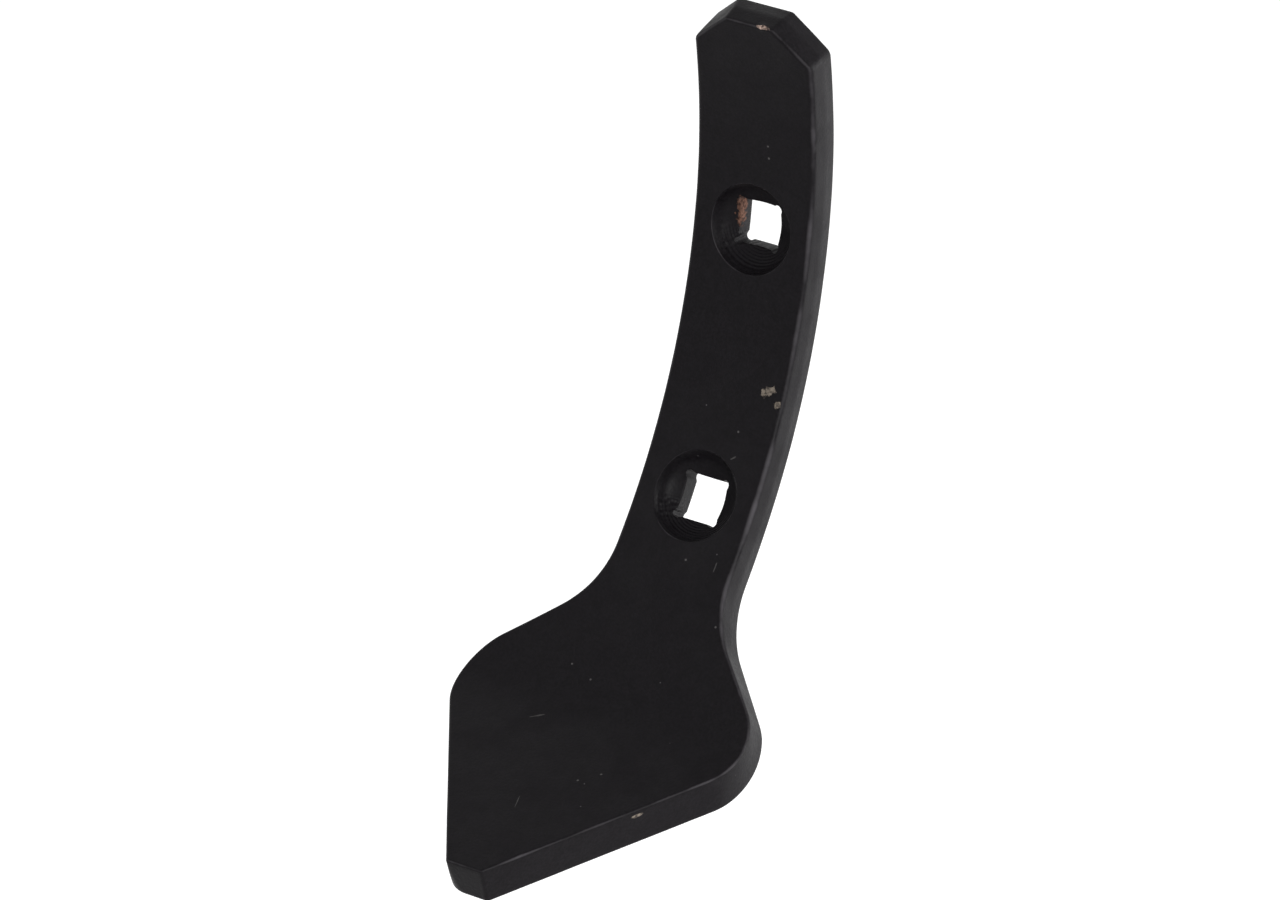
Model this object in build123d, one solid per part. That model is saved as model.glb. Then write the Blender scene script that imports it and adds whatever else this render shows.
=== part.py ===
from build123d import *
import os
from math import asin, cos, degrees, radians, sin, tan

# A heart-shaped cultivator share: a flat bar whose lower end is forged out into a pointed blade,
# bent forward in one sweep so that the shank stands up the tine and the blade runs nearly level.
# X runs across the share, its hollow front face looks along -Y, and Z is up as the share works.
# The origin is the centre of the upper bolt seat, on the front face.
# Millimetres and degrees. "At" values are lengths along the front face, down from the top edge.

# Bar
shank_width = 50.0
thickness = 15.0

# Side curve of the front face. A lean is the face's angle off the vertical, positive with its foot forward.
top_lean = -10.6
shank_radius = 230.0
shank_arc = 247.0
bend_radius = 60.0
blade_lean = 74.5

# Flat outline of the front face
share_length = 351.0
top_corner = 13.3
shoulder_at = 212.0
neck_radius = 30.0
wing_at = 262.5
wing_radius = 28.0
blade_width = 122.0
tip_width = 13.6

# Rounding of the upright corners, and of the edges round the front and back faces
corner_radius = 3.0
front_edge_radius = 1.5
back_edge_radius = 2.2

# Bolt seats: a round mouth, a countersink and a punched square hole for the neck of a plough bolt,
# which widens towards the back and has round reliefs in its corners
upper_seat_at = 76.5
seat_spacing = 100.0
mouth_diameter = 34.0
mouth_depth = 1.0
countersink_angle = 90.0
square_side = 18.0
punch_draft = 2.0
relief_radius = 1.9
relief_inset = 1.1

# How far the cutting tools reach past the faces, and the step between points of a bent line
overrun = 4.0
bend_step = 3.0

neck_lean = top_lean + degrees(shank_arc / shank_radius)
bend_arc = bend_radius * radians(blade_lean - neck_lean)


def side_curve(at):
    """Y, Z and lean of the front face's side curve, with its top end at the origin."""
    on_shank = min(at, shank_arc)
    on_bend = min(max(at - shank_arc, 0), bend_arc)
    on_blade = max(at - shank_arc - bend_arc, 0)
    top = radians(top_lean)
    shank = top + on_shank / shank_radius
    lean = shank + on_bend / bend_radius
    y = shank_radius * (cos(shank) - cos(top)) + bend_radius * (cos(lean) - cos(shank)) - on_blade * sin(lean)
    z = shank_radius * (sin(top) - sin(shank)) + bend_radius * (sin(shank) - sin(lean)) - on_blade * cos(lean)
    return y, z, lean


def on_share(across, at, depth):
    """Point of the bent share: across its width, along its front face and into its thickness."""
    y, z, lean = side_curve(at)
    y0, z0, _ = side_curve(upper_seat_at)
    return Vector(across, y - y0 + depth * cos(lean), z - z0 - depth * sin(lean))


def downward(at):
    """Direction along the front face, towards the tip."""
    lean = side_curve(at)[2]
    return Vector(0, -sin(lean), -cos(lean))


def bent_strip(start, end, width):
    """Stretch of the bent bar between two lengths, with square sides."""
    breaks = [at for at in (shank_arc, shank_arc + bend_arc) if start < at < end]
    stations = [start, *breaks, end]
    sides = []
    for depth in (0, thickness):
        for first, last in zip(stations, stations[1:]):
            points = [on_share(0, at, depth) for at in (first, (first + last) / 2, last)]
            flat = first >= shank_arc + bend_arc
            sides.append(Line(points[0], points[2]) if flat else ThreePointArc(*points))
    for at in (start, end):
        sides.append(Line(on_share(0, at, 0), on_share(0, at, thickness)))
    return extrude(Face(Wire(sides)), amount=width / 2, dir=(1, 0, 0), both=True)


def tangent_point(corner, centre, turn):
    """Where a line from a corner touches the circle of a wing, with the circle on the side of the turn."""
    gap = centre - corner
    swing = degrees(asin(wing_radius / gap.length))
    reach = (gap.length ** 2 - wing_radius ** 2) ** 0.5
    return corner + gap.normalized().rotate(Axis.Z, turn * swing) * reach


def half_outline():
    """Flat outline of one half, from the shank's side round the neck and the wing to the tip, as (across, at)."""
    neck = Vector(shank_width / 2, shoulder_at)
    tip = Vector(tip_width / 2, share_length)
    centre = Vector(blade_width / 2 - wing_radius, wing_at)
    shoulder_end = tangent_point(neck, centre, -1)
    edge_start = tangent_point(tip, centre, 1)
    shoulder = (shoulder_end - neck).normalized()
    edge = (tip - edge_start).normalized()
    wing_corner = shoulder_end + shoulder * wing_radius * tan(radians(shoulder.get_angle(edge) / 2))
    fillet_start = neck - Vector(0, neck_radius * tan(radians(shoulder.get_angle(Vector(0, 1)) / 2)))
    past_tip = tip + edge * overrun
    return fillet_start.Y, FilletPolyline(
        fillet_start - Vector(0, overrun), neck, wing_corner, past_tip, radius=[neck_radius, wing_radius]
    )


def beyond_wall(outline, start, side):
    """Everything outside one wall of the blade, which stands square to the bent faces."""
    stretch = outline.trim(overrun / outline.length, 1)
    steps = round(stretch.length / bend_step)
    flat = [stretch @ (step / steps) for step in range(steps + 1)]
    flat_end = stretch % 1
    last = Vector(side * flat_end.X, 0, 0) + downward(share_length) * flat_end.Y
    curves = []
    for depth in (-overrun, thickness + overrun):
        points = [on_share(side * point.X, point.Y, depth) for point in flat]
        curves.append(Spline(*points, tangents=[downward(start), last]))
    wall = Face.make_surface_from_curves(*curves)
    return extrude(wall, amount=blade_width, dir=(side, 0, 0))


def upright_edges(solid, at, width):
    """The two edges that stand square to the front face at the corners of an end."""
    corners = [on_share(side * width / 2, at, thickness / 2) for side in (-1, 1)]
    return [solid.edges().sort_by_distance(corner)[0] for corner in corners]


def blank():
    """The bent and forged bar before its edges are rounded."""
    start, outline = half_outline()
    shank = bent_strip(0, start, shank_width)
    shank = chamfer(upright_edges(shank, 0, shank_width), top_corner)
    blade = bent_strip(start, share_length, blade_width + overrun)
    for side in (-1, 1):
        blade -= beyond_wall(outline, start, side)
    return shank + blade


def round_corners(solid):
    """Rounds the upright corners of the top end and the tip."""
    edges = upright_edges(solid, 0, shank_width - 2 * top_corner)
    edges += upright_edges(solid, top_corner, shank_width)
    edges += upright_edges(solid, share_length, tip_width)
    return fillet(edges, corner_radius)


def rim(solid, depth):
    """Edges round the front face or the back face, which is made of three stretches."""
    middles = (shank_arc / 2, shank_arc + bend_arc / 2, (shank_arc + bend_arc + share_length) / 2)
    faces = [solid.faces().sort_by_distance(on_share(0, at, depth))[0] for at in middles]
    edges = [edge for face in faces for edge in face.edges()]
    return [edge for edge in edges if sum(edge.is_same(other) for other in edges) == 1]


def punched_square(side):
    """Outline of the square hole, with a round relief in each corner."""
    spot = side / 2 - relief_inset
    corners = [(x, y) for x in (-spot, spot) for y in (-spot, spot)]
    return Rectangle(side, side) + [Pos(x, y) * Circle(relief_radius) for x, y in corners]


def bolt_seat(at):
    """Cutting tool for a bolt seat square to the front face: mouth, countersink and square hole."""
    x, y, z = on_share(0, at, 0)
    lean = side_curve(at)[2]
    face = Plane(origin=(x, y, z), x_dir=(1, 0, 0), z_dir=(0, -cos(lean), sin(lean)))
    mouth_radius = mouth_diameter / 2
    sink_depth = (mouth_radius - square_side / 2) / tan(radians(countersink_angle / 2))
    below = (Align.CENTER, Align.CENTER, Align.MAX)
    above = (Align.CENTER, Align.CENTER, Align.MIN)
    mouth = Pos(0, 0, -mouth_depth) * Cylinder(mouth_radius, mouth_depth + overrun, align=above)
    sink = Pos(0, 0, -mouth_depth) * Cone(square_side / 2, mouth_radius, sink_depth, align=below)
    reach = thickness + overrun
    widened = square_side + 2 * reach * tan(radians(punch_draft))
    square = loft([punched_square(square_side), Pos(0, 0, -reach) * punched_square(widened)], ruled=True)
    return face * (mouth + sink + square)


share = round_corners(blank())
share = fillet(rim(share, 0), front_edge_radius)
share = fillet(rim(share, thickness), back_edge_radius)
for at in (upper_seat_at, upper_seat_at + seat_spacing):
    share -= bolt_seat(at)

os.makedirs("parts", exist_ok=True)
export_step(share, "parts/share.step")
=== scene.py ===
from math import cos, pi, radians, sin, tan

import bpy
import numpy as np
from mathutils import Matrix, Vector, noise
from mathutils.geometry import delaunay_2d_cdt

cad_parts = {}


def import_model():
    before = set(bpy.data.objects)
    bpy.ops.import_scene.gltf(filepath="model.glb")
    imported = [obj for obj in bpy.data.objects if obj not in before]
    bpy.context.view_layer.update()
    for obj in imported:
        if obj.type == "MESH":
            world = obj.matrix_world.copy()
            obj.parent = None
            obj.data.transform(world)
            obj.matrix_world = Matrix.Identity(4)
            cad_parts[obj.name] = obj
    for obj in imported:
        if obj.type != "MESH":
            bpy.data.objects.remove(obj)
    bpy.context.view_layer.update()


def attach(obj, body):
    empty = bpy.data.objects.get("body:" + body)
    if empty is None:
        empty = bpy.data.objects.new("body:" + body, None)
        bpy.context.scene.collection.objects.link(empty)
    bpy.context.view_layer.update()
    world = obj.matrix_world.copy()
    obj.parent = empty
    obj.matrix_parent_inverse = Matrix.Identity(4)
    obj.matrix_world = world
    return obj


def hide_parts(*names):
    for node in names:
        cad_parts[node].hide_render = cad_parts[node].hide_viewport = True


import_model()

# A heart-shaped cultivator share in satin black paint, standing in its own frame.
# Metres and degrees. A flat place is (across, at): across the share, and down its front face from the top.

# The bent bar and its flat outline
shank_width = 0.050
thickness = 0.015
top_lean = -11.64
shank_radius = 0.230
shank_arc = 0.2512
bend_radius = 0.060
blade_lean = 74.5
share_length = 0.3523
corner_across = 0.0152
corner_down = 0.0124
shoulder_at = 0.2193
neck_radius = 0.0388
wing_at = 0.2657
wing_radius = 0.0267
blade_width = 0.1199
tip_width = 0.0152

# Six straight lines bound each half of a face: top, corner cut, side, shoulder, cutting edge and tip.
# Each line has its own rounding at the front and at the back, and the five corners between them have theirs.
# Where the outline is moved in, the neck's corner radius grows and the others shrink.
front_radii = np.array([0.0011, 0.0014, 0.0021, 0.0015, 0.0011, 0.0010])
back_radii = np.array([0.0018, 0.0018, 0.0018, 0.0016, 0.0016, 0.0016])
corner_radii = np.array([0.0022, 0.0036, neck_radius, wing_radius, 0.0020])
corner_turns = np.array([-1, -1, 1, -1, -1])
least_radius = 0.0003

# Rolled sides: the first three lines swell to a waist and draw in behind it
drafted = np.array([1, 1, 1, 0, 0, 0])
waist_depth = 0.0072
front_draft = 3.5
side_draft = 8.7

# What the forging left fuller towards the back of the left side, at the corner cut and at the tip
top_left_lean = 0.0015
top_left_growth = 0.0012
tip_left_growth = 0.0086

# Bolt seats: a dished recess with a steep wall, and a punched square hole with round reliefs in its corners
upper_seat_at = 0.0806
seat_spacing = 0.0985
seats_at = (upper_seat_at, upper_seat_at + seat_spacing)
mouth_radius = 0.0166
seat_lip = 0.0005
dish_wall = 0.0038
dish_bend = 0.0012
dish_slope = 0.55
square_side = 0.0164
square_shift = (-0.0012, 0.0001)
punch_draft = 2.4
relief_radius = 0.0017
relief_inset = 0.0010

# Uneven forging: height and size of the swells on every surface
swells = ((0.00012, 0.034), (0.00003, 0.009))

# Marks of use, each with its centre as (across, at, depth), its half sizes and its turn in degrees
bare_spots = [
    ((0.0058, 0.0003, 0.0002), (0.0032, 0.0007, 0.0009), 0),
]
tan_spots = [
    ((0.0178, 0.1361, 0), (0.0034, 0.0017, 0.0010), -28),
    ((0.0224, 0.1395, 0), (0.0015, 0.0014, 0.0010), 0),
    ((0.0404, 0.3030, 0.0025), (0.0022, 0.0008, 0.0007), 124),
]
scuff_spots = [
    ((0.0106, 0.1622, 0), (0.0013, 0.0003, 0.0010), -40),
    ((0.0175, 0.2010, 0), (0.0003, 0.0018, 0.0010), 0),
    ((-0.0203, 0.2753, 0), (0.0028, 0.0003, 0.0010), -38),
    ((-0.0012, 0.3166, 0), (0.0028, 0.0002, 0.0010), 73),
]
rust_spots = [
    ((-0.0093, 0.0762, 0.0085), (0.0018, 0.0070, 0.0034), 0),
    ((-0.0076, 0.0879, 0.0080), (0.0018, 0.0011, 0.0026), 0),
    ((0.0046, 0.1856, 0.0100), (0.0024, 0.0011, 0.0026), 0),
]
speck_places = (
    (0.0055, 0.0478), (0.0060, 0.0523), (0.0096, 0.1528), (0.0052, 0.2020), (0.0269, 0.2219),
    (-0.0204, 0.2507), (-0.0105, 0.2542), (0.0184, 0.2922), (0.0124, 0.2982),
)
speck_size = 0.00042

# Knocks in the forging, each with its centre, its radius and its depth
nicks = (
    ((0.0570, 0.2614, 0.0002), 0.0022, 0.0008),
    ((0.0514, 0.2791, 0.0008), 0.0015, 0.0004),
    ((0.0393, 0.2979, 0.0010), 0.0016, 0.0004),
    ((0.0147, 0.3390, 0.0004), 0.0015, 0.0004),
    ((0.0243, 0.0761, 0.0105), 0.0015, 0.0004),
    ((0.0242, 0.0443, 0.0004), 0.0015, 0.0006),
    ((0.0055, 0.0000, 0.0004), 0.0022, 0.0005),
)

# Spacing of the rings that the tool left in the recesses, and waves per radian of the fan of scratches
ring_pitch = 0.0010
fan_scratches = 45

# Colours. Where there are two, the grain mixes them.
paint_colours = ((0.0030, 0.0025, 0.0032, 1), (0.0058, 0.0049, 0.0061, 1))
worn_colour = (0.055, 0.051, 0.056, 1)
dust_colour = (0.055, 0.052, 0.055, 1)
speck_colour = (0.055, 0.052, 0.052, 1)
scuff_colour = (0.040, 0.038, 0.038, 1)
rust_colours = ((0.030, 0.015, 0.011, 1), (0.120, 0.062, 0.044, 1))
chip_colours = ((0.040, 0.034, 0.030, 1), (0.160, 0.135, 0.110, 1))
steel_colours = ((0.05, 0.035, 0.03, 1), (0.42, 0.31, 0.26, 1))
floor_colour = (0.8, 0.8, 0.8, 1)
white = (1, 1, 1, 1)

# Size of the lumps in the paint's noises, spacing of the dust, and height of the bumps
patch_size = 0.016
mottle_size = 0.0042
grain_size = 0.0011
fray_size = 0.0016
dust_spacing = 0.0055
bump_height = 0.00016
paint_ior = 1.17

# Mesh steps: points along the lines and round the corners of a half outline, then rows of the other surfaces
line_points = (10, 14, 170, 26, 76, 6)
corner_points = (5, 5, 18, 40, 8)
front_steps = 6
back_steps = 7
wall_rows = 10
face_margins = (0.0014, 0.0004)
seat_rays = 200
lip_steps = 4
dish_rows = 30
dish_end = 0.98
dish_crowding = 1.5
hole_start = 0.03
hole_rows = 8
grid_step = 0.0015
row_share = 0.87
loop_clearance = 0.6
hole_clearance = 0.5
merge_distance = 1e-7

# Camera, as fitted to the photograph. The centre of view is across and up the image from the frame's origin.
view_azimuth = 34.53
view_elevation = 26.26
view_distance = 3.0
pixels_per_metre = 2819.1
image_width = 1280
sensor_width = 36.0
view_centre = (-0.03923, -0.07827)

# Lamps, each with its azimuth, elevation, size and power, and the plain surroundings
lamps = {"key": (-40, 30, 1.6, 8), "side": (125, 5, 1.6, 75), "rim": (55, 22, 0.9, 45)}
lamp_distance = 2.4
lamp_target = Vector((0, -0.08, -0.06))
sky_light = 0.55
sky_seen = 1.0
floor_height = -0.62
floor_half = 20.0
floor_lift = 0.45

neck_lean = top_lean + shank_arc / shank_radius * 180 / pi
bend_arc = bend_radius * radians(blade_lean - neck_lean)


def side_curve(at):
    """Y, Z and lean of the front face's side curve, from the top edge down."""
    at = np.asarray(at, float)
    on_shank = np.minimum(at, shank_arc)
    on_bend = np.clip(at - shank_arc, 0, bend_arc)
    on_blade = np.maximum(at - shank_arc - bend_arc, 0)
    top = radians(top_lean)
    shank = top + on_shank / shank_radius
    lean = shank + on_bend / bend_radius
    y = shank_radius * (np.cos(shank) - cos(top)) + bend_radius * (np.cos(lean) - np.cos(shank))
    z = shank_radius * (sin(top) - np.sin(shank)) + bend_radius * (np.sin(shank) - np.sin(lean))
    return y - on_blade * np.sin(lean), z - on_blade * np.cos(lean), lean


def front_face(at):
    """Y, Z and lean of the front face in the frame, whose origin is the upper seat's centre."""
    y, z, lean = side_curve(at)
    seat_y, seat_z, _ = side_curve(upper_seat_at)
    return y - seat_y, z - seat_z, lean


def on_share(flat, depth):
    """Points of the bent share from flat places and depths under the front face."""
    y, z, lean = front_face(flat[:, 1])
    return np.stack([flat[:, 0], y + depth * np.cos(lean), z - depth * np.sin(lean)], axis=1)


def unit(vector):
    """The vector at length 1."""
    return vector / np.linalg.norm(vector)


def turned(vector, swing):
    """A flat vector turned by an angle in radians."""
    x, y = vector
    return np.array([x * cos(swing) - y * sin(swing), x * sin(swing) + y * cos(swing)])


def tangent_point(corner, centre, turn):
    """Where a line from a corner touches a wing's circle."""
    gap = centre - corner
    length = np.linalg.norm(gap)
    swing = turn * np.arcsin(wing_radius / length)
    return corner + turned(gap, swing) / length * (length ** 2 - wing_radius ** 2) ** 0.5


def half_lines():
    """The six lines round the right half of the front face, as a point and a direction each."""
    side = shank_width / 2
    neck = np.array([side, shoulder_at])
    tip = np.array([tip_width / 2, share_length])
    centre = np.array([blade_width / 2 - wing_radius, wing_at])
    ends = [
        ((0, 0), (side - corner_across, 0)),
        ((side - corner_across, 0), (side, corner_down)),
        ((side, corner_down), neck),
        (neck, tangent_point(neck, centre, -1)),
        (tangent_point(tip, centre, 1), tip),
        (tip, (0, share_length)),
    ]
    ends = [(np.array(start, float), np.array(end, float)) for start, end in ends]
    return [(start, unit(end - start)) for start, end in ends]


def crossing(first, second):
    """Where two flat lines cross."""
    (start, along), (other, across) = first, second
    gap = other - start
    slant = along[0] * across[1] - along[1] * across[0]
    return start + along * (gap[0] * across[1] - gap[1] * across[0]) / slant


def straight(first, last, count):
    """Evenly spaced points after the first one along a straight line."""
    return [first + (last - first) * k / count for k in range(1, count + 1)]


def half_loop(insets, radii):
    """Points of the right half outline with each line moved in, and each point's place among the lines."""
    lines = []
    for (start, way), inset in zip(half_lines(), insets):
        outward = np.array([way[1], -way[0]])
        lines.append((start - outward * inset, way))
    corners = [np.array([0.0, lines[0][0][1]])]
    corners += [crossing(first, second) for first, second in zip(lines, lines[1:])]
    corners.append(np.array([0.0, lines[-1][0][1]]))
    points, places = [corners[0]], [0.0]
    for line, radius in enumerate(radii):
        before, corner, after = corners[line:line + 3]
        back, ahead = unit(before - corner), unit(after - corner)
        half = 0.5 * np.arccos(back @ ahead)
        middle = corner + unit(back + ahead) * radius / sin(half)
        start = corner + back * radius / tan(half) - middle
        end = corner + ahead * radius / tan(half) - middle
        points += straight(points[-1], start + middle, line_points[line])
        places += [line] * line_points[line]
        turn = (pi - 2 * half) * np.sign(start[0] * end[1] - start[1] * end[0])
        for k in range(1, corner_points[line] + 1):
            points.append(middle + turned(start, turn * k / corner_points[line]))
            places.append(line + k / corner_points[line])
    points += straight(points[-1], corners[-1], line_points[-1])
    places += [len(radii)] * line_points[-1]
    return np.array(points), np.array(places)


def ring(depths, insets):
    """One ring round the share, from the depth and inset of each line: flat places and depths."""
    through = depths.mean() / thickness
    fuller = (waist_depth / 2 - np.minimum(depths, waist_depth)) * tan(radians(front_draft))
    drawn = (np.maximum(depths - waist_depth, 0) * tan(radians(side_draft)) + fuller) * drafted
    corner_insets = (insets[1:] + insets[:-1]) / 2
    halves = []
    for on_left in (0, 1):
        moved = insets + drawn
        moved[1] -= on_left * (drawn[1] + top_left_lean * through)
        radii = np.maximum(corner_radii + corner_turns * corner_insets, least_radius)
        radii[:2] += on_left * top_left_growth * through
        radii[-1] += on_left * tip_left_growth * through ** 2
        halves.append(half_loop(moved, radii))
    (right, right_places), (left, left_places) = halves
    flat = np.vstack([right[:-1], left[:0:-1] * [-1, 1]])
    places = np.concatenate([right_places[:-1], left_places[:0:-1]])
    return flat, np.interp(places, np.arange(len(depths)), depths)


def sections():
    """Depths, insets and edge wear of every ring, from the front face round the wall to the back face."""
    flush = np.zeros(len(front_radii))
    made = [(flush, front_radii + margin, 0) for margin in face_margins]
    for k in range(front_steps + 1):
        swing = pi / 2 * k / front_steps
        made.append((front_radii * (1 - cos(swing)), front_radii * (1 - sin(swing)), sin(2 * swing)))
    wall = thickness - front_radii - back_radii
    for k in range(1, wall_rows):
        made.append((front_radii + wall * k / wall_rows, flush, 0))
    for k in range(back_steps + 1):
        swing = pi / 2 * k / back_steps
        depths = thickness - back_radii * (1 - sin(swing))
        made.append((depths, back_radii * (1 - cos(swing)), sin(2 * swing)))
    made += [(flush + thickness, back_radii + margin, 0) for margin in reversed(face_margins)]
    return made


def square_reach(angle):
    """Distance from the middle of a square hole to its outline, reliefs included, in a direction."""
    along = np.array([cos(angle), sin(angle)])
    reach = square_side / 2 / max(abs(along))
    for x in (-1, 1):
        for y in (-1, 1):
            spot = np.array([x, y]) * (square_side / 2 - relief_inset)
            near = spot @ along
            gap = spot @ spot - near ** 2
            if near > 0 and gap < relief_radius ** 2:
                reach = max(reach, near + (relief_radius ** 2 - gap) ** 0.5)
    return reach


def seat_frame(at):
    """Centre of a bolt seat on the front face, and its directions across, down and in."""
    y, z, lean = (float(value) for value in front_face(at))
    ways = [[1, 0, 0], [0, -sin(lean), -cos(lean)], [0, cos(lean), -sin(lean)]]
    return np.array([0, y, z]), np.array(ways)


def face_depth(spots, radius):
    """Depth of a face of the bent shank at places beside a seat's centre, under the seat's own plane."""
    return (radius ** 2 - spots[:, 1] ** 2) ** 0.5 - shank_radius


def lip_rings(rays):
    """Rings on the face beside a recess and round the recess's rim."""
    rings = []
    for margin in face_margins:
        spots = rays * (mouth_radius + seat_lip + margin)
        rings.append((spots, face_depth(spots, shank_radius), 0))
    for k in range(lip_steps + 1):
        swing = pi / 2 * k / lip_steps
        spots = rays * (mouth_radius + seat_lip * (1 - sin(swing)))
        rings.append((spots, face_depth(spots, shank_radius) + seat_lip * (1 - cos(swing)), sin(2 * swing)))
    return rings


def dish_rings(rays, square):
    """Rings down the dish, from the rim to the square hole's front edge."""
    rim_depth = face_depth(rays * mouth_radius, shank_radius) + seat_lip
    rings = []
    for inward in [*(np.arange(1, dish_rows) / dish_rows * dish_end) ** dish_crowding, 1]:
        spots = rays * mouth_radius * (1 - inward) + (square + square_shift) * inward
        inside_rim = mouth_radius - np.linalg.norm(spots, axis=1)
        dish = dish_slope * inside_rim + dish_wall * (1 - np.exp(-inside_rim / dish_bend))
        rings.append((spots, rim_depth * (1 - inward) + dish, 0))
    return rings


def hole_rings(square, edge):
    """Rings down the square hole, from the depths of its front edge to the face behind it."""
    end = face_depth(square + square_shift, shank_radius + thickness)
    rings = []
    for down in [hole_start, *np.arange(1, hole_rows + 1) / hole_rows]:
        depth = edge + (end - edge) * down
        widened = 1 + (depth - edge) * tan(radians(punch_draft)) * 2 / square_side
        rings.append((square * widened[:, None] + square_shift, depth, 0))
    last = rings[-1][0] - square_shift
    for margin in reversed(face_margins):
        spots = last * (1 + margin * 2 / square_side) + square_shift
        rings.append((spots, face_depth(spots, shank_radius + thickness), 0))
    return rings


def seat_rings():
    """Rings of a bolt seat, each with places across and down from its centre, depths and edge wear."""
    angles = np.linspace(0, 2 * pi, seat_rays, endpoint=False)
    rays = np.stack([np.cos(angles), np.sin(angles)], axis=1)
    square = rays * np.array([square_reach(angle) for angle in angles])[:, None]
    rings = lip_rings(rays) + dish_rings(rays, square)
    return rings + hole_rings(square, rings[-1][1])


def inside(points, loop):
    """Which points lie inside a closed flat loop."""
    found = np.zeros(len(points), bool)
    for (x1, y1), (x2, y2) in zip(loop, np.roll(loop, -1, axis=0)):
        if y1 == y2:
            continue
        spans = (points[:, 1] >= min(y1, y2)) & (points[:, 1] < max(y1, y2))
        crossing_x = x1 + (points[:, 1] - y1) * (x2 - x1) / (y2 - y1)
        found ^= spans & (points[:, 0] < crossing_x)
    return found


def distance(points, loop):
    """Distance of each point from the nearest point of a loop."""
    nearest = np.full(len(points), np.inf)
    for x, y in loop:
        nearest = np.minimum(nearest, np.hypot(points[:, 0] - x, points[:, 1] - y))
    return nearest


def face_mesh(loop, holes):
    """Flat points and triangles of a face with holes: the loops' own points come first, in their order."""
    low, high = loop.min(axis=0), loop.max(axis=0)
    columns = np.arange(low[0], high[0], grid_step)
    rows = np.arange(low[1], high[1], grid_step * row_share)
    grid = np.array([(x + row % 2 * grid_step / 2, y) for row, y in enumerate(rows) for x in columns])
    keep = inside(grid, loop) & (distance(grid, loop) > grid_step * loop_clearance)
    for hole in holes:
        keep &= ~inside(grid, hole) & (distance(grid, hole) > grid_step * hole_clearance)
    points = np.vstack([loop, *holes, grid[keep]])
    edges = []
    start = 0
    for closed in (loop, *holes):
        edges += [(start + k, start + (k + 1) % len(closed)) for k in range(len(closed))]
        start += len(closed)
    got = delaunay_2d_cdt([Vector(point) for point in points], edges, [], 1, merge_distance)
    flat = np.array([tuple(place) for place in got[0]])
    triangles = np.array(got[2])
    assert len(flat) == len(points), "two rings cross"
    middle = flat[triangles].mean(axis=1)
    keep = inside(middle, loop)
    for hole in holes:
        keep &= ~inside(middle, hole)
    return flat, triangles[keep]


class Surface:
    """Points and faces of one closed mesh as they are added, with each point's flat place and edge wear."""

    def __init__(self):
        self.points, self.flats, self.edges, self.faces, self.total = [], [], [], [], 0

    def add(self, points, flat, depth, edge):
        """Adds a block of points and gives the number of its first one."""
        start = self.total
        self.points.append(points)
        self.flats.append(np.column_stack([flat, np.broadcast_to(depth, len(flat))]))
        self.edges.append(np.full(len(points), edge, float))
        self.total += len(points)
        return start

    def join(self, first, second, count):
        """Faces between two rings of as many points."""
        for k in range(count):
            after = (k + 1) % count
            self.faces.append((first + k, first + after, second + after, second + k))


def add_wall(surface):
    """Adds the rings round the share, and gives the first and last one with their first points' numbers."""
    loops = []
    for depths, insets, edge in sections():
        flat, depth = ring(depths, insets)
        loops.append((flat, surface.add(on_share(flat, depth), flat, depth, edge)))
    for (flat, first), (_, second) in zip(loops, loops[1:]):
        surface.join(second, first, len(flat))
    return loops[0], loops[-1]


def on_face(spots, at, radius):
    """Flat places of a seat's edge on a face of the bent shank, from its places on the seat's own plane."""
    return np.stack([spots[:, 0], at + shank_radius * np.arcsin(spots[:, 1] / radius)], axis=1)


def add_seat(surface, rings, at):
    """Adds a bolt seat, and gives its edges on the front and back face with their first points' numbers."""
    middle, ways = seat_frame(at)
    starts = []
    for spots, depth, edge in rings:
        points = middle + np.column_stack([spots, depth]) @ ways
        starts.append(surface.add(points, spots + [0, at], depth, edge))
    for first, second in zip(starts, starts[1:]):
        surface.join(first, second, seat_rays)
    mouth = on_face(rings[0][0], at, shank_radius)
    way_out = on_face(rings[-1][0], at, shank_radius + thickness)
    return (mouth, starts[0]), (way_out, starts[-1])


def add_face(surface, outline, holes, depth):
    """Adds the front or back face between the share's ring and the seats' edges on it."""
    loop, _ = outline
    flat, triangles = face_mesh(loop, [hole for hole, _ in holes])
    numbers = [np.arange(start, start + len(edge)) for edge, start in (outline, *holes)]
    rest = flat[sum(len(block) for block in numbers):]
    start = surface.add(on_share(rest, np.full(len(rest), depth)), rest, depth, 0)
    numbers = np.concatenate([*numbers, np.arange(start, start + len(rest))])
    for a, b, c in numbers[triangles]:
        surface.faces.append((a, b, c) if depth == 0 else (a, c, b))


def share_mesh():
    """The whole share as one closed mesh, with flat places, seat places and edge wear kept as attributes."""
    surface = Surface()
    front, back = add_wall(surface)
    rings = seat_rings()
    mouths, exits = zip(*[add_seat(surface, rings, at) for at in seats_at])
    add_face(surface, front, mouths, 0.0)
    add_face(surface, back, exits, thickness)
    return finished_mesh(surface)


def rise(points):
    """How far each point stands out of the plain form, from the forging's swells and knocks."""
    height = np.zeros(len(points))
    for swell, size in swells:
        height += swell * np.array([noise.noise(Vector(point) / size) for point in points])
    for centre, radius, depth in nicks:
        middle = on_share(np.array([centre[:2]]), centre[2])
        reach = np.linalg.norm(points - middle, axis=1) / radius
        height -= depth * np.maximum(1 - reach ** 2, 0) ** 2
    return height


def seat_places(points):
    """Places across, down and in from the centre of the nearer bolt seat."""
    found = []
    for at in seats_at:
        middle, ways = seat_frame(at)
        found.append((points - middle) @ ways.T)
    nearer = np.linalg.norm(found[0], axis=1) < np.linalg.norm(found[1], axis=1)
    return np.where(nearer[:, None], found[0], found[1])


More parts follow.
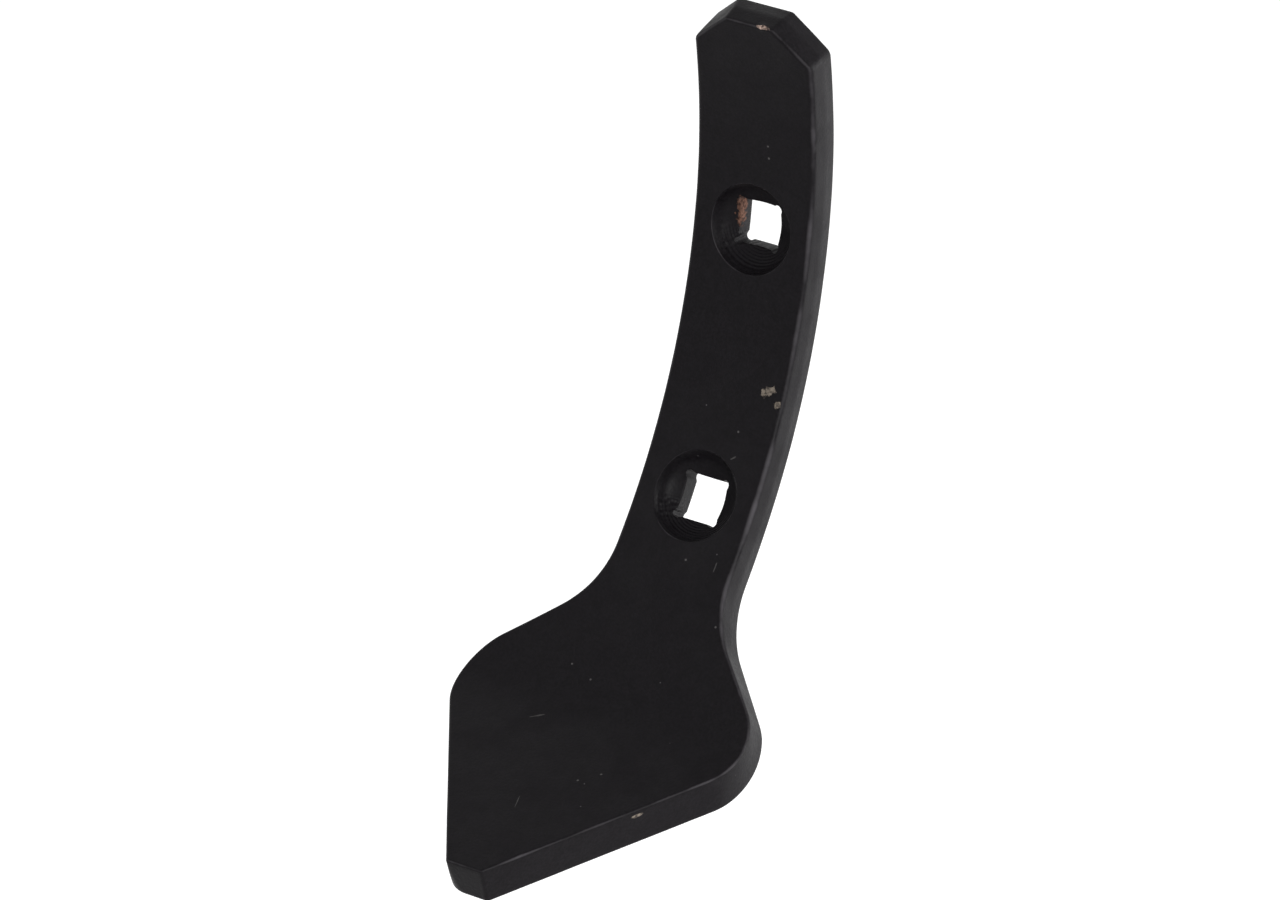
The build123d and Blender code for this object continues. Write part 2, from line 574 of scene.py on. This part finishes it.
def keep_attribute(mesh, name, kind, field, values):
    """Writes values for every point of a mesh as a named attribute."""
    made = mesh.attributes.new(name, kind, "POINT")
    made.data.foreach_set(field, values.astype(np.float32).ravel())


def finished_mesh(surface):
    """Makes the mesh, moves its points by their rise and writes its attributes."""
    mesh = bpy.data.meshes.new("share_forging")
    points = np.vstack(surface.points)
    mesh.from_pydata(points.tolist(), [], [tuple(int(k) for k in face) for face in surface.faces])
    normals = np.zeros(len(points) * 3)
    mesh.vertex_normals.foreach_get("vector", normals)
    raised = points + normals.reshape(-1, 3) * rise(points)[:, None]
    mesh.vertices.foreach_set("co", raised.ravel())
    keep_attribute(mesh, "flat", "FLOAT_VECTOR", "vector", np.vstack(surface.flats))
    keep_attribute(mesh, "seat", "FLOAT_VECTOR", "vector", seat_places(points))
    keep_attribute(mesh, "edge", "FLOAT", "value", np.concatenate(surface.edges))
    mesh.update()
    return mesh


def placed(mesh):
    """An object of a mesh, riding on the share's only body with smooth shading."""
    piece = bpy.data.objects.new(mesh.name, mesh)
    bpy.context.scene.collection.objects.link(piece)
    for face in mesh.polygons:
        face.use_smooth = True
    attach(piece, "root")
    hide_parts("share")
    return piece


def add(tree, kind, inputs=None, **settings):
    """A node with its settings, and its inputs set to values or joined to other nodes' outputs."""
    made = tree.nodes.new(kind)
    for name, value in settings.items():
        setattr(made, name, value)
    for key, value in (inputs or {}).items():
        if isinstance(value, bpy.types.NodeSocket):
            tree.links.new(value, made.inputs[key])
        else:
            made.inputs[key].default_value = value
    return made


def arithmetic(tree, operation, first, second=0.0):
    """The result of a Math node."""
    return add(tree, "ShaderNodeMath", {0: first, 1: second}, operation=operation).outputs[0]


def plus(tree, first, second):
    """The sum of two fields or numbers."""
    return arithmetic(tree, "ADD", first, second)


def minus(tree, first, second):
    """The difference of two fields or numbers."""
    return arithmetic(tree, "SUBTRACT", first, second)


def times(tree, first, second):
    """The product of two fields or numbers."""
    return arithmetic(tree, "MULTIPLY", first, second)


def between(tree, field, low, high, start=0.0, end=1.0):
    """A field drawn smoothly from start at low to end at high."""
    inputs = {"Value": field, "From Min": low, "From Max": high, "To Min": start, "To Max": end}
    return add(tree, "ShaderNodeMapRange", inputs, interpolation_type="SMOOTHSTEP").outputs["Result"]


def cloud(tree, place, size, detail):
    """Soft noise about 0.5, with lumps of a size."""
    inputs = {"Vector": place, "Scale": 1 / size, "Detail": detail}
    return add(tree, "ShaderNodeTexNoise", inputs).outputs[0]


def blended(tree, factor, first, second):
    """Two colours mixed by a factor."""
    return add(tree, "ShaderNodeMix", {0: factor, 6: first, 7: second}, data_type="RGBA").outputs[2]


def grained(tree, grain, low, high, colours):
    """The first colour where the grain is low and the second where it is high."""
    return blended(tree, between(tree, grain, low, high), *colours)


def read_attribute(tree, name, output):
    """A mesh attribute's values."""
    node = add(tree, "ShaderNodeAttribute", attribute_type="GEOMETRY", attribute_name=name)
    return node.outputs[output]


def length(tree, vector):
    """The length of a vector."""
    return add(tree, "ShaderNodeVectorMath", {0: vector}, operation="LENGTH").outputs["Value"]


def marks(tree, place, spots, ragged):
    """1 within any of the spots and 0 outside their ragged edges."""
    nearest = None
    for centre, halves, turn in spots:
        inputs = {"Vector": place, "Location": centre, "Rotation": (0, 0, radians(turn)), "Scale": halves}
        moved = add(tree, "ShaderNodeMapping", inputs, vector_type="TEXTURE").outputs[0]
        reach = length(tree, moved)
        nearest = reach if nearest is None else arithmetic(tree, "MINIMUM", nearest, reach)
    return between(tree, plus(tree, nearest, ragged), 0.8, 1.1, 1.0, 0.0)


def dust(tree, place):
    """1 on small specks strewn over a few of a Voronoi pattern's cells, and 0 elsewhere."""
    cells = add(tree, "ShaderNodeTexVoronoi", {"Vector": place, "Scale": 1 / dust_spacing})
    chance = add(tree, "ShaderNodeSeparateColor", {0: cells.outputs["Color"]}).outputs[0]
    near = between(tree, cells.outputs["Distance"], 0.03, 0.07, 1.0, 0.0)
    return times(tree, near, arithmetic(tree, "GREATER_THAN", chance, 0.80))


def closed_paint(tree, place, flat, patches, mottle, grain, ragged):
    """Colour of the paint where it still covers the steel, with its worn edges, dust, specks and scuffs."""
    edge = read_attribute(tree, "edge", "Fac")
    specks = [((across, at, 0), (speck_size, speck_size, speck_size), 0) for across, at in speck_places]
    tone = plus(tree, times(tree, mottle, 0.3), times(tree, grain, 0.7))
    worn = between(tree, plus(tree, edge, times(tree, patches, 1.6)), 1.4, 2.5)
    colour = grained(tree, tone, 0.34, 0.68, paint_colours)
    colour = blended(tree, worn, colour, worn_colour)
    colour = blended(tree, dust(tree, place), colour, dust_colour)
    colour = blended(tree, marks(tree, flat, specks, times(tree, ragged, 0.5)), colour, speck_colour)
    return blended(tree, marks(tree, flat, scuff_spots, ragged), colour, scuff_colour)


def black_paint():
    """Satin black dip paint over forged steel, finely grained, with chips down to the steel and rust."""
    material = bpy.data.materials.new("black_paint")
    material.use_nodes = True
    tree = material.node_tree
    shader = tree.nodes["Principled BSDF"]
    shader.inputs["IOR"].default_value = paint_ior
    place = add(tree, "ShaderNodeTexCoord").outputs["Object"]
    flat = read_attribute(tree, "flat", "Vector")
    patches = cloud(tree, place, patch_size, 4.0)
    mottle = cloud(tree, place, mottle_size, 3.0)
    grain = cloud(tree, place, grain_size, 4.0)
    ragged = times(tree, minus(tree, cloud(tree, place, fray_size, 4.0), 0.5), 2.2)

    rust = marks(tree, flat, rust_spots, ragged)
    chips = marks(tree, flat, tan_spots, ragged)
    bare = marks(tree, flat, bare_spots, ragged)
    colour = closed_paint(tree, place, flat, patches, mottle, grain, ragged)
    colour = blended(tree, rust, colour, grained(tree, grain, 0.35, 0.65, rust_colours))
    colour = blended(tree, chips, colour, grained(tree, grain, 0.35, 0.62, chip_colours))
    colour = blended(tree, bare, colour, grained(tree, grain, 0.35, 0.60, steel_colours))
    tree.links.new(colour, shader.inputs["Base Color"])

    opened = arithmetic(tree, "MAXIMUM", rust, arithmetic(tree, "MAXIMUM", chips, bare))
    rough = between(tree, patches, 0.30, 0.70, 0.42, 0.56)
    rough = plus(tree, rough, between(tree, grain, 0.3, 0.7, -0.04, 0.05))
    rough = plus(tree, rough, times(tree, opened, 0.3))
    tree.links.new(rough, shader.inputs["Roughness"])

    height = plus(tree, times(tree, grain, 0.55), times(tree, mottle, 0.35))
    height = plus(tree, height, tool_marks(tree, mottle))
    height = minus(tree, height, times(tree, opened, 0.8))
    bump = add(tree, "ShaderNodeBump", {"Height": height, "Distance": bump_height, "Strength": 1.0})
    tree.links.new(bump.outputs["Normal"], shader.inputs["Normal"])
    return material


def tool_marks(tree, mottle):
    """Low rings round the lower part of each recess, and a fan of scratches low on its left wall."""
    seat = read_attribute(tree, "seat", "Vector")
    across, down, depth = add(tree, "ShaderNodeSeparateXYZ", {0: seat}).outputs
    level = add(tree, "ShaderNodeCombineXYZ", {0: across, 1: down}).outputs[0]
    reach = length(tree, level)
    waves = arithmetic(tree, "SINE", times(tree, reach, 2 * pi / ring_pitch))
    rings = times(tree, waves, between(tree, down, 0.001, 0.008))
    angle = arithmetic(tree, "ARCTAN2", down, times(tree, across, -1.0))
    uneven = plus(tree, angle, times(tree, mottle, 0.35))
    fan = times(tree, arithmetic(tree, "SINE", times(tree, uneven, fan_scratches)), 0.6)
    beside = times(tree, between(tree, angle, 0.0, 0.35), between(tree, angle, 0.75, 1.1, 1.0, 0.0))
    cuts = plus(tree, rings, times(tree, fan, beside))
    within = between(tree, reach, mouth_radius - seat_lip, mouth_radius, 1.0, 0.0)
    sunk = between(tree, depth, 0.0008, 0.002)
    cuts = times(tree, cuts, times(tree, within, sunk))
    return times(tree, cuts, times(tree, mottle, 0.9))


def white_background(tree):
    """A factor that is 1 for what the camera, glossy and transmission rays see."""
    path = add(tree, "ShaderNodeLightPath")
    first = arithmetic(tree, "MAXIMUM", path.outputs["Is Camera Ray"], path.outputs["Is Glossy Ray"])
    return arithmetic(tree, "MAXIMUM", first, path.outputs["Is Transmission Ray"])


def world():
    """A plain pale world: even light on the share, and white where it is seen."""
    made = bpy.data.worlds.new("studio")
    bpy.context.scene.world = made
    made.use_nodes = True
    tree = made.node_tree
    background = tree.nodes["Background"]
    background.inputs["Color"].default_value = white
    strength = add(tree, "ShaderNodeMix", {0: white_background(tree), 2: sky_light, 3: sky_seen})
    tree.links.new(strength.outputs[0], background.inputs["Strength"])


def pale_floor():
    """The floor's material, lit a little by itself so that the camera sees it white but for a shadow."""
    material = bpy.data.materials.new("pale_floor")
    material.use_nodes = True
    tree = material.node_tree
    shader = tree.nodes["Principled BSDF"]
    shader.inputs["Base Color"].default_value = floor_colour
    shader.inputs["Roughness"].default_value = 0.9
    shader.inputs["Specular IOR Level"].default_value = 0.0
    shader.inputs["Emission Color"].default_value = white
    tree.links.new(times(tree, white_background(tree), floor_lift), shader.inputs["Emission Strength"])
    return material


def floor():
    """A plain pale floor under the share."""
    mesh = bpy.data.meshes.new("floor")
    corners = [(x * floor_half, y * floor_half, 0) for x, y in ((-1, -1), (1, -1), (1, 1), (-1, 1))]
    mesh.from_pydata(corners, [], [(0, 1, 2, 3)])
    mesh.materials.append(pale_floor())
    plane = bpy.data.objects.new("floor", mesh)
    plane.location.z = floor_height
    bpy.context.scene.collection.objects.link(plane)


def direction(azimuth, elevation):
    """The way from the share to a viewer or lamp, with the azimuth counted from -Y towards +X."""
    az, el = radians(azimuth), radians(elevation)
    return Vector((sin(az) * cos(el), -cos(az) * cos(el), sin(el)))


def lamp(name, azimuth, elevation, size, power):
    """A soft square lamp that looks at the middle of the share."""
    light = bpy.data.lights.new(name, "AREA")
    light.size = size
    light.energy = power
    away = direction(azimuth, elevation)
    lit = bpy.data.objects.new(name, light)
    lit.location = lamp_target + away * lamp_distance
    lit.rotation_euler = away.to_track_quat("Z", "Y").to_euler()
    bpy.context.scene.collection.objects.link(lit)


def camera():
    """The camera at the photograph's viewing angle and scale."""
    data = bpy.data.cameras.new("camera")
    data.sensor_width = sensor_width
    data.lens = pixels_per_metre * view_distance * sensor_width / image_width
    back = direction(view_azimuth, view_elevation)
    right = Vector((cos(radians(view_azimuth)), sin(radians(view_azimuth)), 0))
    up = back.cross(right)
    place = back * view_distance + right * view_centre[0] + up * view_centre[1]
    seen = bpy.data.objects.new("camera", data)
    seen.matrix_world = Matrix.Translation(place) @ Matrix((right, up, back)).transposed().to_4x4()
    bpy.context.scene.collection.objects.link(seen)
    bpy.context.scene.camera = seen


share = placed(share_mesh())
share.data.materials.append(black_paint())
world()
floor()
for name, settings in lamps.items():
    lamp(name, *settings)
camera()
bpy.context.scene.view_settings.view_transform = "Standard"
